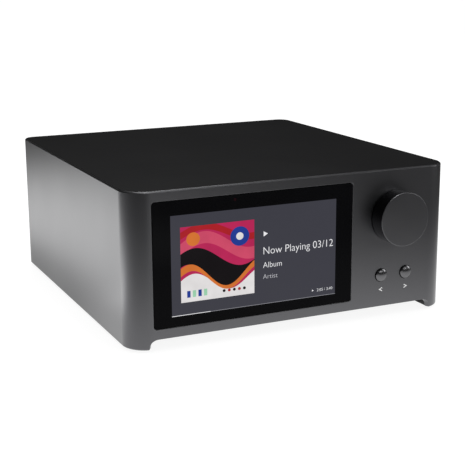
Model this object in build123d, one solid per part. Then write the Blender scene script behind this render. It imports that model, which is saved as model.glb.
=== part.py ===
from build123d import *
import os
from math import radians, tan

# A streaming amplifier that stands on a shelf. Millimetres, +Z up, the front faces -Y and the
# viewer's right is +X. The origin is on the shelf, under the middle of the whole object.

# Case sleeve
case_width = 218
case_depth = 231
case_front = -121
case_rear = case_front + case_depth
case_bottom = 1.7
case_top = 96
wall = 3
front_corner = 15
rear_corner = 9
edge_chamfer = 0.8
inner_front = case_front + wall
inner_rear = case_rear - wall
cut_margin = 3
through_front = (case_front - cut_margin, inner_front + cut_margin)
through_rear = (inner_rear - cut_margin, case_rear + cut_margin)

# Arch between the corner feet, at the front and at the rear
arch_width = 193
arch_top = 7.7
arch_radius = 5.5

# Top panel, let into the sleeve
top_thickness = 3
top_rim = 1.0
top_gap = 0.15
top_panel_chamfer = 0.3
ledge_z = case_top - top_thickness

# Display window and its glass
window_size = (131.8, 75.6)
window_at = (-28.2, 51.8)
window_corner = 1.8
window_chamfer = 0.4
window_ledge = 1.3
glass_thickness = 2
glass_gap = 0.15
glass_rear = case_front + glass_thickness
screen_size = (118, 67.4)
screen_at = (-28.5, 50.6)
screen_thickness = 1.2
tray_rear = -115

# Display bracket and the sensor board on it
sheet = 1.2
bracket_x = (-92, 36)
bracket_top = 91
bracket_foot = 12
bracket_hole_size = (22, 42)
bracket_hole_pitch = 30
bracket_hole_count = 4
sensor_x = -41
sensor_board_size = (22, 5.4)
sensor_board_z = 87.3
receiver_size = (5, 2.6)
receiver_z = 86.7
led_size = (1.6, 1.2)
led_offset = 7

# Volume control
knob_at = (68.5, 65.8)
knob_radius = 17
knob_face = -133
knob_gap = 0.6
knob_chamfer = 0.6
knob_hollow = (12.5, 3.6)
knob_hollow_sides = 12
shaft_radius = 3
running_gap = 0.05
shaft_tip = knob_face + 2
shaft_end = -114
shaft_room_end = -113.4
flat_depth = 1.5
flat_end = -125.2
bush_radius = 4.5
bush_gap = 0.15
bush_tip = -124
encoder_width = 13
encoder_rear = -111
plunger_size = 5
plunger_end = -112.6
plunger_room_end = -111.8
nut_flats = 12
nut_thickness = 2.4

# Buttons
button_pitch = 18.1
button_z = 28.3
button_hole = 4.5
button_radius = 4.2
button_dome = 1.1
button_edge = -121.3
button_crown = 2
button_flange = (10.8, 0.8)
button_stem = 2.6
button_end = -113
guide_size = (36, 18)
guide_rear = -115
guide_floor = -116.4
guide_rim = 1.5
switch_size = 6.2
switch_front = -113.6
switch_room = -112.2

# Front board behind the knob and the buttons
front_board_x = (45, 97)
front_board_z = (11, 90)
front_board_holes = [(50, 15), (90, 15), (50, 85), (90, 85)]
board = 1.6

# Base pan, feet and their screws
pan_bottom = 8
pan_top = pan_bottom + sheet
pan_gap = 0.3
slot_size = (46, 3)
slot_pitch = 9
slot_rows = 5
slot_banks = [(0, -75), (44, -2)]
foot_places = [(-84, -82), (84, -82), (-84, 80), (84, 80)]
foot_radius = 9.5
foot_sides = 24
corner_block = (10, 10, 8)
corner_places = [(101, -101), (-101, -101), (101, 89), (-101, 89)]

# Rails under the sides of the base pan, cut slantwise to clear the sleeve's corners
rail_gap = 0.3
rail_outer = case_width / 2 - wall - rail_gap
rail_inner = arch_width / 2
rail_y = (-117.4, 106.6)
rail_slant_y = (-105.5, 97.5)
rail_floor = 1.2
rail_pocket = 3.7
rail_pocket_sides = 12

# Screw heads, M3 hexagons
head_flats = 5.5
head_height = 2

# Rear panel
rear_half = 96.5
rear_opening_half = 94
rear_opening_z = (11, 90)
rear_panel_z = (pan_top, 91.8)
rear_front = inner_rear - sheet
flange_depth = 11
rear_slot_size = (3, 22)
rear_slot_pitch = 7
rear_slot_x = -10
rear_slot_count = 5
rear_slot_z = 31

# Stacked phono jacks
jack_x = [74, 56]
jack_z = [61.5, 75.5]
jack_block_size = (13, 28.8)
jack_block_y = (92, 108.4)
jack_nose = 3.4
jack_nose_sides = 12
jack_sleeve_sides = 24
jack_sleeve = 4.15
jack_tip = 116
jack_nose_tip = 115
jack_pin_hole = (1.7, 14)

# Speaker terminals
post_x = [77, 58, 39, 20]
post_z = 31
plate_size = (78, 24)
plate_boss = (72, 16)
plate_front = inner_rear + wall
stud_radius = 3
stud_square = 5
stud_inner = 103.3
stud_tip = 131.5
banana_radius = 2.0
banana_depth = 19.5
clamp_radius = 6.8
clamp_thickness = 2
thread_gap = 0.06
cap_end = 133
cap_radius = 7.8
cap_sides = 12
cap_chamfer = 1.4
link_width = 8
link_top = 35
link_front = 102.3

# Digital sockets on the main board
optical_x = 12
optical_size = (9.8, 10.4)
optical_y = (94, 109.4)
optical_room = (7.8, 7.4, 13)
optical_floor = 1.4
shutter_thickness = 0.8
shutter_pin = 0.5
shutter_pin_room = 0.7
shutter_width = 7.4
hdmi_x = -5
hdmi_size = (15.4, 6.2)
hdmi_room = (14.0, 4.6)
hdmi_slope = 1.6
hdmi_tongue = (10.4, 1.2)
hdmi_y = (95, 108.2)
usb_x = -25
usb_size = (14.4, 7)
usb_room = (12.5, 5.2)
usb_tongue = (11, 1.7)
usb_y = (92, 108.2)
usb_tongue_drop = 1.4
socket_floor = 1.6
tongue_setback = 1
network_x = -45
network_size = (16, 14)
network_y = (90, 108.4)
network_room = (12, 8.2, 14)
network_latch = (4.4, 3.2)
mini_x = [-58.5, -67]
mini_size = (7.4, 9)
mini_y = (93, 108.4)
mini_bore = (1.8, 14)
mini_z = 58.6

# Mains inlet and power switch
inlet_at = (-73, 31)
inlet_flange_size = (31, 24.5)
inlet_flange_rear = 110
inlet_body_size = (27, 20)
inlet_front = 86
inlet_room = (23, 16)
inlet_room_depth = 16
inlet_cut = 4.5
inlet_pin = (2, 4)
inlet_pin_tip = 107.5
inlet_pin_tail = 80
inlet_pins = [(-7, -2), (7, -2), (0, 2.5)]
switch_at = (-38, 31)
switch_flange_size = (15, 22.4)
switch_flange_rear = 109
switch_body_size = (12.6, 20.2)
switch_body_front = 92
rocker_room = (10.6, 19)
rocker_room_front = 94
rocker_pivot_y = 100
rocker_width = 10
rocker_half_height = 7.9
rocker_valley = 7.0
rocker_depth = 3.4
rocker_pin = 1.0
rocker_pin_length = 11.5
rocker_root_half = 2
rocker_tilt = 10

# Boards inside, and the pillars that carry them
board_z = 16
board_top = board_z + board
main_board_z = 52
main_board_top = main_board_z + board
supply_board = ((-94, -24), (-40, 88))
amplifier_board = ((-18, 95), (-40, 104))
main_board = ((-74, 96), (30, 104))
column_places = [(-66, 34), (91, 34), (-28, 82), (91, 82)]
board_screw_places = [(-90, -35), (-29, -35), (-90, 82), (-12, -35), (91, -35), (-12, 82)]
standoff_flats = 6
insulation_sheet = ((-95.5, -21), (-44, 90))
insulation_thickness = 0.5
insulation_hole = 10

# Power supply pieces
transformer_core = ((-86, -50), (-14, 16), (board_top + 4, 46))
transformer_coil = ((-82, -54), (-20, 22), (board_top, 42))
supply_capacitor_places = [(-50, 56)]
supply_capacitor = (9, 30)
can_sides = 16
choke = ((-92, -72), (32, 52), (board_top, 34))
supply_sink = ((-44, -40), (-26, 22), (board_top, 44))
lead_width = 2
lead_run = 9

# Amplifier pieces
sink_size = (76, 44, 26)
sink_at = (44, -2)
sink_base = 5
fin_count = 10
fin_thickness = 2.2
chip_size = (14, 14, 3)
chip_offset = 20
coil_places = [(22, 40), (38, 40), (54, 40), (70, 40)]
coil = (12, 9)
amplifier_capacitor_places = [(-6, 8)]
amplifier_capacitor = (6.5, 26)

# Streaming module and its antennas
module_size = (46, 30)
module_at = (4, 60)
module_board = 1
shield_size = (34, 24)
shield_height = 2.6
antenna_size = (44, 9)
antenna_places = [(-70, 60), (60, 60)]
antenna_thickness = 0.8
ribbon_width = 20
ribbon_x = -13.5
ribbon_thickness = 0.3
ribbon_route = [(-115, 62), (-96, 62), (-70, 78), (10, 78), (34, 60), (34, 53.6)]


def block(x, y, z):
    # A box between two ends on each axis.
    spans = (x, y, z)
    size = [high - low for low, high in spans]
    middle = [(low + high) / 2 for low, high in spans]
    return Pos(*middle) * Box(*size)


def around(middle, width):
    # The two ends of a span about its middle.
    return (middle - width / 2, middle + width / 2)


def row_places(middle, pitch, count):
    # Evenly spaced places about a middle.
    return [middle + (step - (count - 1) / 2) * pitch for step in range(count)]


def rod(radius, y, at):
    # A round bar along Y, through the point at = (x, z).
    low, high = y
    return Pos(at[0], (low + high) / 2, at[1]) * Rot(90, 0, 0) * Cylinder(radius, high - low)


def facing_front(sketch, y):
    # A sketch drawn as seen from the front, in x and z, set upright at y.
    return Plane((0, y, 0), x_dir=(1, 0, 0), z_dir=(0, -1, 0)) * sketch


def slab(sketch, y):
    # A sketch drawn as seen from the front, made as thick as the span y.
    low, high = y
    return extrude(facing_front(sketch, high), high - low)


def layer(sketch, z):
    # A plan sketch, made as thick as the span z.
    low, high = z
    return extrude(Pos(0, 0, low) * sketch, high - low)


def strip(sketch, x):
    # A sketch drawn as seen from the right, in y and z, made as wide as the span x.
    low, high = x
    plane = Plane((low, 0, 0), x_dir=(0, 1, 0), z_dir=(1, 0, 0))
    return extrude(plane * sketch, high - low)


def turned(profile, at):
    # A profile of radius and y, turned about an axis along Y through at = (x, z).
    return Pos(at[0], 0, at[1]) * revolve(profile, Axis.Y)


def hexagon(flats):
    return RegularPolygon(flats / 2, 6, major_radius=False)


def group(shapes):
    # Separate solids of one node.
    return Compound([solid for shape in shapes for solid in shape.solids()])


def plan_outline(inset):
    # The case seen from above, drawn inside its outer face.
    middle = (case_front + case_rear) / 2
    outline = Pos(0, middle) * Rectangle(case_width - 2 * inset, case_depth - 2 * inset)
    outline = fillet(outline.vertices().sort_by(Axis.Y)[:2], front_corner - inset)
    return fillet(outline.vertices().sort_by(Axis.Y)[-2:], rear_corner - inset)


def button_centres():
    return [(knob_at[0] - button_pitch / 2, button_z), (knob_at[0] + button_pitch / 2, button_z)]


def window_outline(inset):
    width, height = window_size
    return Pos(*window_at) * RectangleRounded(width - 2 * inset, height - 2 * inset, window_corner)


def jack_centres():
    return [(x, z) for x in jack_x for z in jack_z]


def post_centres():
    return [(x, post_z) for x in post_x]


# Case pieces

def case_shell():
    outside = layer(plan_outline(0), (case_bottom, case_top))
    top_face = outside.faces().sort_by(Axis.Z)[-1]
    outside = chamfer(top_face.outer_wire().edges(), edge_chamfer)
    shell = outside - layer(plan_outline(wall), (case_bottom, case_top))
    shell -= layer(plan_outline(top_rim), (ledge_z, case_top))
    shell -= arch_cut()
    shell -= window_cut()
    shell -= rod(bush_radius + bush_gap, through_front, knob_at)
    for centre in button_centres():
        shell -= rod(button_hole, through_front, centre)
    shell -= rear_cut()
    for place in corner_places:
        shell += screw_block(place)
    return shell


def arch_cut():
    # The foot line rises between the corner feet, in the front wall and in the rear wall.
    height = 2 * (arch_top - case_bottom)
    arch = Pos(0, case_bottom) * RectangleRounded(arch_width, height, arch_radius)
    return slab(arch, through_front) + slab(arch, through_rear)


def window_cut():
    # A seat for the glass with a chamfer in front, and a smaller window behind it.
    seat = slab(window_outline(0), (case_front, glass_rear))
    width, height = window_size
    ledge = Pos(*window_at) * Rectangle(width - 2 * window_ledge, height - 2 * window_ledge)
    mouth = facing_front(window_outline(-window_chamfer), case_front)
    slope = extrude(mouth, -window_chamfer, taper=45)
    return seat + slab(ledge, through_front) + slope


def rear_cut():
    return block((-rear_opening_half, rear_opening_half), through_rear, rear_opening_z)


def screw_block(place):
    width, depth, height = corner_block
    z = (pan_top, pan_top + height)
    return block(around(place[0], width), around(place[1], depth), z)


def top_panel():
    panel = layer(plan_outline(top_rim + top_gap), (ledge_z, case_top))
    return chamfer(panel.faces().sort_by(Axis.Z)[-1].edges(), top_panel_chamfer)


def base_pan():
    pan = layer(plan_outline(wall + pan_gap), (pan_bottom, pan_top))
    for middle_x, middle_y in slot_banks:
        for y in row_places(middle_y, slot_pitch, slot_rows):
            slot = Pos(middle_x, y) * Rectangle(*slot_size)
            pan -= layer(slot, (pan_bottom, pan_top))
    return pan


def base_rails():
    # The screws under the corners hold the rails and the pan, their heads sunk in pockets.
    start, end = rail_y
    slant_start, slant_end = rail_slant_y
    points = [(rail_inner, start), (rail_outer, slant_start), (rail_outer, slant_end), (rail_inner, end)]
    outline = Polygon(*points, align=None)
    z = (case_bottom, pan_bottom)
    rails = [layer(side, z) for side in (outline, mirror(outline, Plane.YZ))]
    pocket = RegularPolygon(rail_pocket, rail_pocket_sides)
    for place in corner_places:
        cut = layer(Pos(*place) * pocket, (case_bottom, pan_bottom - rail_floor))
        rails = [rail - cut for rail in rails]
    return group(rails)


def rubber_feet():
    outline = RegularPolygon(foot_radius, foot_sides)
    return group([layer(Pos(*place) * outline, (0, pan_bottom)) for place in foot_places])


# Display pieces

def display_glass():
    return slab(window_outline(glass_gap), (case_front, glass_rear))


def screen_outline():
    return Pos(*screen_at) * Rectangle(*screen_size)


def display_panel():
    return slab(screen_outline(), (glass_rear, glass_rear + screen_thickness))


def backlight_tray():
    return slab(screen_outline(), (glass_rear + screen_thickness, tray_rear))


def display_bracket():
    # A sheet that stands on the base pan and backs the screen, with holes to lighten it.
    upright = block(bracket_x, (tray_rear, tray_rear + sheet), (pan_top, bracket_top))
    for x in row_places(screen_at[0], bracket_hole_pitch, bracket_hole_count):
        hole = Pos(x, screen_at[1]) * Rectangle(*bracket_hole_size)
        upright -= slab(hole, (tray_rear, tray_rear + sheet))
    foot_y = (tray_rear + sheet, tray_rear + sheet + bracket_foot)
    return upright + block(bracket_x, foot_y, (pan_top, pan_top + sheet))


def infrared_receiver():
    outline = Pos(sensor_x, receiver_z) * Rectangle(*receiver_size)
    return slab(outline, (glass_rear, tray_rear - sheet))


def standby_light():
    outline = Pos(sensor_x + led_offset, receiver_z) * Rectangle(*led_size)
    return slab(outline, (tray_rear - 2 * sheet, tray_rear - sheet))


def display_ribbon():
    # A flat cable from the back of the screen to the main board.
    route = Polyline(*ribbon_route)
    return strip(trace(route, ribbon_thickness), around(ribbon_x, ribbon_width))


# Volume control pieces

def encoder_shaft():
    shaft = rod(shaft_radius, (shaft_tip, shaft_end), knob_at)
    flat_z = (knob_at[1] + flat_depth, knob_at[1] + shaft_radius)
    flat = block(around(knob_at[0], 2 * shaft_radius), (shaft_tip, flat_end), flat_z)
    return shaft - flat


def volume_knob():
    # A turned knob with a hollow for the nut and a blind hole for the shaft and its flat.
    hollow_radius, hollow_depth = knob_hollow
    back = case_front - knob_gap
    profile = Polygon(
        (0, knob_face), (knob_radius - knob_chamfer, knob_face),
        (knob_radius, knob_face + knob_chamfer), (knob_radius, back), (0, back), align=None)
    hollow = Pos(*knob_at) * RegularPolygon(hollow_radius, knob_hollow_sides)
    return turned(profile, knob_at) - slab(hollow, (back - hollow_depth, back)) - encoder_shaft()


def encoder_body():
    # The housing behind the wall, its bush through the wall, and a room for the push plunger.
    width = around(knob_at[0], encoder_width)
    height = around(knob_at[1], encoder_width)
    body = block(width, (inner_front, encoder_rear), height)
    body += rod(bush_radius, (bush_tip, inner_front), knob_at)
    body -= rod(shaft_radius + running_gap, (bush_tip, shaft_room_end), knob_at)
    room = plunger_size + 2 * running_gap
    return body - block(around(knob_at[0], room), (shaft_end, plunger_room_end), around(knob_at[1], room))


def encoder_plunger():
    width = around(knob_at[0], plunger_size)
    return block(width, (shaft_end, plunger_end), around(knob_at[1], plunger_size))


def encoder_nut():
    y = (case_front - nut_thickness, case_front)
    return slab(Pos(*knob_at) * hexagon(nut_flats), y) - rod(bush_radius, y, knob_at)


# Button pieces

def button(centre):
    # A raised round cap with a square flange that stops it and a square stem to the switch.
    flange_width, flange_thickness = button_flange
    flange_rear = inner_front + flange_thickness
    crown = button_edge - button_dome
    profile = Polygon(
        (0, crown), (button_crown, crown), (button_radius, button_edge),
        (button_radius, inner_front), (0, inner_front), align=None)
    cap = turned(profile, centre)
    spot = Pos(*centre)
    cap += slab(spot * Rectangle(flange_width, flange_width), (inner_front, flange_rear))
    return cap + slab(spot * Rectangle(button_stem, button_stem), (flange_rear, button_end))


def button_previous():
    return button(button_centres()[0])


def button_next():
    return button(button_centres()[1])


def button_guide():
    # A moulded tray against the front wall, with a square hole that guides each stem.
    width, height = guide_size
    centre = Pos(knob_at[0], button_z)
    guide = slab(centre * Rectangle(width, height), (inner_front, guide_rear))
    pocket = centre * Rectangle(width - 2 * guide_rim, height - 2 * guide_rim)
    guide -= slab(pocket, (inner_front, guide_floor))
    hole = button_stem + 2 * running_gap
    for place in button_centres():
        guide -= slab(Pos(*place) * Rectangle(hole, hole), (guide_floor, guide_rear))
    return guide


def button_switches():
    hole = button_stem + 2 * running_gap

    def switch(centre):
        body = slab(Pos(*centre) * Rectangle(switch_size, switch_size), (switch_front, encoder_rear))
        return body - slab(Pos(*centre) * Rectangle(hole, hole), (switch_front, switch_room))
    return group([switch(centre) for centre in button_centres()])


def front_boards():
    # The board behind the knob and the buttons, and the small one above the screen.
    y = (encoder_rear, encoder_rear + board)
    control_board = block(front_board_x, y, front_board_z)
    outline = Pos(sensor_x, sensor_board_z) * Rectangle(*sensor_board_size)
    return group([control_board, slab(outline, (tray_rear - sheet, tray_rear))])


# Rear panel and what is in it

def rear_panel():
    y = (rear_front, inner_rear)
    panel = block((-rear_half, rear_half), y, rear_panel_z)
    flange_y = (rear_front - flange_depth, rear_front)
    panel += block((-rear_opening_half, rear_opening_half), flange_y, (pan_top, pan_top + sheet))
    for outline in socket_outlines():
        panel -= slab(outline, y)
    for x in row_places(rear_slot_x, rear_slot_pitch, rear_slot_count):
        panel -= slab(Pos(x, rear_slot_z) * Rectangle(*rear_slot_size), y)
    return panel


def socket_outlines():
    # The holes for the sockets, each the size of what comes through it.
    sizes = [(optical_x, optical_size), (hdmi_x, hdmi_size), (usb_x, usb_size), (network_x, network_size)]
    sizes += [(x, mini_size) for x in mini_x] + [(x, jack_block_size) for x in jack_x]
    outlines = [Pos(x, main_board_top + size[1] / 2) * Rectangle(*size) for x, size in sizes]
    outlines.append(Pos(*inlet_at) * Rectangle(*inlet_body_size))
    outlines.append(Pos(*switch_at) * Rectangle(*switch_body_size))
    outlines.append(Pos(*plate_middle()) * Rectangle(*plate_boss))
    return outlines


def phono_housings():
    # A moulded block for each pair of jacks, with two noses that have a hole for the plug's pin.
    width, height = jack_block_size
    hole_radius, hole_depth = jack_pin_hole

    def housing(x):
        body = block(around(x, width), jack_block_y, (main_board_top, main_board_top + height))
        for z in jack_z:
            body += slab(nose_outline((x, z)), (jack_block_y[1], jack_nose_tip))
            body -= rod(hole_radius, (jack_nose_tip - hole_depth, jack_nose_tip), (x, z))
        return body
    return group([housing(x) for x in jack_x])


def nose_outline(centre):
    return Pos(*centre) * RegularPolygon(jack_nose, jack_nose_sides)


def phono_sleeves():
    y = (jack_block_y[1], jack_tip)

    def sleeve(centre):
        outline = Pos(*centre) * RegularPolygon(jack_sleeve, jack_sleeve_sides)
        return slab(outline, y) - slab(nose_outline(centre), y)
    return group([sleeve(centre) for centre in jack_centres()])


def plate_middle():
    return ((post_x[0] + post_x[-1]) / 2, post_z)


def terminal_plate():
    # A moulded plate with a boss through the rear panel, which insulates the studs from it.
    middle = Pos(*plate_middle())
    plate = slab(middle * Rectangle(*plate_size), (inner_rear, plate_front))
    plate += slab(middle * Rectangle(*plate_boss), (stud_inner, inner_rear))
    for centre in post_centres():
        plate -= slab(Pos(*centre) * Rectangle(stud_square, stud_square), (stud_inner, plate_front))
    return plate


def terminal_studs():
    # Threaded studs with a square root that can't turn in the plate and a bore for a plug.
    def stud(centre):
        body = rod(stud_radius, (plate_front, stud_tip), centre)
        body += slab(Pos(*centre) * Rectangle(stud_square, stud_square), (stud_inner, plate_front))
        return body - rod(banana_radius, (stud_tip - banana_depth, stud_tip), centre)
    return group([stud(centre) for centre in post_centres()])


def clamp_ring(centre):
    y = (plate_front, plate_front + clamp_thickness)
    ring = slab(Pos(*centre) * RegularPolygon(clamp_radius, cap_sides), y)
    return ring - rod(stud_radius + thread_gap, y, centre)


def terminal_cap(centre):
    # A grip with flat sides that narrows to its tip, open right through for the stud and the plug.
    start = plate_front + clamp_thickness
    cap = slab(Pos(*centre) * RegularPolygon(cap_radius, cap_sides), (start, cap_end))
    cap = chamfer(cap.faces().sort_by(Axis.Y)[-1].edges(), cap_chamfer)
    return cap - rod(stud_radius + thread_gap, (start, cap_end), centre)


def terminal_links():
    # Brass strips that stand on the amplifier board, riveted to the inner ends of the studs.
    z = (board_top, link_top)
    return group([block(around(x, link_width), (link_front, stud_inner), z) for x in post_x])


def shutter_pin_at():
    # The height and depth of the shutter's pivot, under the roof of the socket.
    roof = main_board_top + optical_floor + optical_room[1]
    return (optical_y[1] - shutter_pin_room - shutter_pin, roof - shutter_pin_room)


def optical_input():
    width, height, depth = optical_room
    z = (main_board_top, main_board_top + optical_size[1])
    body = block(around(optical_x, optical_size[0]), optical_y, z)
    room_z = (main_board_top + optical_floor, main_board_top + optical_floor + height)
    body -= block(around(optical_x, width), (optical_y[1] - depth, optical_y[1]), room_z)
    y, pin_z = shutter_pin_at()
    pin = Pos(optical_x, y, pin_z) * Rot(0, 90, 0)
    return body - pin * Cylinder(shutter_pin + running_gap, width + 2 * shutter_thickness)


def optical_shutter():
    y, pin_z = shutter_pin_at()
    low = main_board_top + optical_floor + 2 * running_gap
    flap = block(around(optical_x, shutter_width), around(y, shutter_thickness), (low, pin_z))
    pin = Pos(optical_x, y, pin_z) * Rot(0, 90, 0)
    return flap + pin * Cylinder(shutter_pin, optical_room[0] + shutter_thickness)


def hdmi_outline(size, slope):
    # The socket's outline, with its two lower corners cut off.
    half, height = size[0] / 2, size[1]
    return Polygon((-half, height / 2), (-half, slope - height / 2), (slope - half, -height / 2),
                   (half - slope, -height / 2), (half, slope - height / 2), (half, height / 2), align=None)


def hdmi_socket():
    # A metal shell and the contact tongue inside it.
    centre = Pos(hdmi_x, main_board_top + hdmi_size[1] / 2)
    room_y = (hdmi_y[0] + socket_floor, hdmi_y[1])
    shell = slab(centre * Rectangle(*hdmi_size), hdmi_y)
    shell -= slab(centre * hdmi_outline(hdmi_room, hdmi_slope), room_y)
    tongue = slab(centre * Rectangle(*hdmi_tongue), (room_y[0], room_y[1] - tongue_setback))
    return group([shell, tongue])


def usb_socket():
    # A metal shell with the contact tongue against its roof.
    middle = main_board_top + usb_size[1] / 2
    room_y = (usb_y[0] + socket_floor, usb_y[1])
    shell = slab(Pos(usb_x, middle) * Rectangle(*usb_size), usb_y)
    shell -= slab(Pos(usb_x, middle) * Rectangle(*usb_room), room_y)
    tongue_z = middle + usb_room[1] / 2 - usb_tongue_drop
    tongue = slab(Pos(usb_x, tongue_z) * Rectangle(*usb_tongue), (room_y[0], room_y[1] - tongue_setback))
    return group([shell, tongue])


def network_socket():
    width, height, depth = network_room
    latch_width, latch_height = network_latch
    z = (main_board_top, main_board_top + network_size[1])
    body = block(around(network_x, network_size[0]), network_y, z)
    y = (network_y[1] - depth, network_y[1])
    low = main_board_top + socket_floor
    body -= block(around(network_x, width), y, (low, low + height))
    return body - block(around(network_x, latch_width), y, (low + height, low + height + latch_height))


def mini_jacks():
    bore_radius, bore_depth = mini_bore
    z = (main_board_top, main_board_top + mini_size[1])

    def jack(x):
        body = block(around(x, mini_size[0]), mini_y, z)
        return body - rod(bore_radius, (mini_y[1] - bore_depth, mini_y[1]), (x, mini_z))
    return group([jack(x) for x in mini_x])


def mains_inlet():
    body = slab(Pos(*inlet_at) * Rectangle(*inlet_flange_size), (inner_rear, inlet_flange_rear))
    body += slab(Pos(*inlet_at) * Rectangle(*inlet_body_size), (inlet_front, inner_rear))
    width, height = inlet_room
    room = Polygon(
        (-width / 2, -height / 2), (width / 2, -height / 2), (width / 2, height / 2 - inlet_cut),
        (width / 2 - inlet_cut, height / 2), (inlet_cut - width / 2, height / 2),
        (-width / 2, height / 2 - inlet_cut), align=None)
    body -= slab(Pos(*inlet_at) * room, (inlet_flange_rear - inlet_room_depth, inlet_flange_rear))
    for pin in inlet_pin_outlines():
        body -= slab(pin, (inlet_front, inlet_flange_rear))
    return body


def inlet_pin_outlines():
    places = [(inlet_at[0] + x, inlet_at[1] + z) for x, z in inlet_pins]
    return [Pos(*place) * Rectangle(*inlet_pin) for place in places]


def mains_inlet_pins():
    return group([slab(pin, (inlet_pin_tail, inlet_pin_tip)) for pin in inlet_pin_outlines()])


def rocker_pin_rod(radius, length):
    return Pos(switch_at[0], rocker_pivot_y, switch_at[1]) * Rot(0, 90, 0) * Cylinder(radius, length)


def power_switch_frame():
    centre = Pos(*switch_at)
    frame = slab(centre * Rectangle(*switch_flange_size), (inner_rear, switch_flange_rear))
    frame += slab(centre * Rectangle(*switch_body_size), (switch_body_front, inner_rear))
    frame -= slab(centre * Rectangle(*rocker_room), (rocker_room_front, switch_flange_rear))
    return frame - rocker_pin_rod(rocker_pin + running_gap, switch_body_size[0])


def power_rocker():
    # Two faces that meet in a shallow valley, tilted so that one end stands out at rest.
    rise = rocker_half_height * tan(radians(rocker_tilt))
    profile = Polygon(
        (rocker_valley, 0), (rocker_valley + rise, rocker_half_height),
        (0, rocker_half_height - rise), (-rocker_depth, rocker_root_half), (-rocker_depth, -rocker_root_half),
        (0, rise - rocker_half_height), (rocker_valley + rise, -rocker_half_height), align=None)
    tilted = Rot(0, 0, rocker_tilt) * profile
    placed = Pos(rocker_pivot_y, switch_at[1]) * tilted
    rocker = strip(placed, around(switch_at[0], rocker_width))
    return rocker + rocker_pin_rod(rocker_pin, rocker_pin_length)


# Boards, pillars and screws inside

def places_on(spans, places):
    (left, right), (near, far) = spans
    return [place for place in places if left < place[0] < right and near < place[1] < far]


def power_supply_board():
    return block(*supply_board, (board_z, board_top))


def amplifier_board_and_chips():
    carrier = block(*amplifier_board, (board_z, board_top))
    width, depth, height = chip_size
    z = (board_top, board_top + height)
    chips = [block(around(sink_at[0] + offset, width), around(sink_at[1], depth), z)
             for offset in (-chip_offset, chip_offset)]
    return group([carrier] + chips)


def main_board_piece():
    return block(*main_board, (main_board_z, main_board_top))


def insulation():
    # A plastic sheet under the power supply board, cut out round its standoffs.
    z = (pan_top, pan_top + insulation_thickness)
    sheet_shape = block(*insulation_sheet, z)
    for x, y in places_on(insulation_sheet, column_places + board_screw_places):
        sheet_shape -= block(around(x, insulation_hole), around(y, insulation_hole), z)
    return sheet_shape


def standoffs():
    # Hexagon pillars: short ones under the lower boards, tall ones on them that carry the main
    # board, and the ones between the front wall and its board.
    outline = hexagon(standoff_flats)
    places = column_places + board_screw_places
    shapes = [layer(Pos(*place) * outline, (pan_top, board_z)) for place in places]
    shapes += [layer(Pos(*place) * outline, (board_top, main_board_z)) for place in column_places]
    shapes += [slab(Pos(*place) * outline, (inner_front, encoder_rear)) for place in front_board_holes]
    return group(shapes)


def screws():
    # Hexagon heads in the rails, on the boards and behind the front board.
    outline = hexagon(head_flats)
    rear = encoder_rear + board
    seats = [(pan_bottom - rail_floor - head_height, corner_places), (board_top, board_screw_places),
             (main_board_top, column_places)]
    shapes = [layer(Pos(*place) * outline, (seat, seat + head_height)) for seat, places in seats
              for place in places]
    shapes += [slab(Pos(*place) * outline, (rear, rear + head_height)) for place in front_board_holes]
    return group(shapes)


def transformer():
    # A wound coil with a ferrite frame over it.
    return group([block(*transformer_core) - block(*transformer_coil), block(*transformer_coil)])


def capacitors():
    # Round cans, drawn with flat sides.
    rows = [(supply_capacitor, supply_capacitor_places), (amplifier_capacitor, amplifier_capacitor_places)]
    return group([layer(Pos(*place) * RegularPolygon(radius, can_sides), (board_top, board_top + height))
                  for (radius, height), places in rows for place in places])


def coils():
    # The mains choke and the output coils of the amplifier, all in square cases.
    width, height = coil
    z = (board_top, board_top + height)
    cans = [block(around(x, width), around(y, width), z) for x, y in coil_places]
    return group([block(*choke)] + cans)


def mains_leads():
    # Insulated wires from the inlet's tails down to the power supply board.
    z = inlet_at[1] + inlet_pins[0][1]
    corner = inlet_pin_tail - lead_run
    route = Polyline((inlet_pin_tail, z), (corner, z), (corner, board_top))
    return group([strip(trace(route, lead_width), around(inlet_at[0] + x, lead_width))
                  for x, height in inlet_pins[:2]])


def heat_sinks():
    # A finned one over the amplifier chips and a plain upright one on the power supply board.
    width, depth, height = sink_size
    base_z = board_top + chip_size[2]
    left, right = around(sink_at[0], width)
    y = around(sink_at[1], depth)
    sink = block((left, right), y, (base_z, base_z + sink_base))
    pitch = (width - fin_thickness) / (fin_count - 1)
    for fin in range(fin_count):
        start = left + fin * pitch
        sink += block((start, start + fin_thickness), y, (base_z + sink_base, base_z + height))
    return group([sink, block(*supply_sink)])


def streaming_module():
    # A small board with its metal shield.
    low = main_board_top + module_board
    x, y = module_at
    carrier = block(around(x, module_size[0]), around(y, module_size[1]), (main_board_top, low))
    shield = block(around(x, shield_size[0]), around(y, shield_size[1]), (low, low + shield_height))
    return group([carrier, shield])


def radio_antennas():
    z = (ledge_z - antenna_thickness, ledge_z)
    return group([block(around(x, antenna_size[0]), around(y, antenna_size[1]), z)
                  for x, y in antenna_places])


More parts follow.
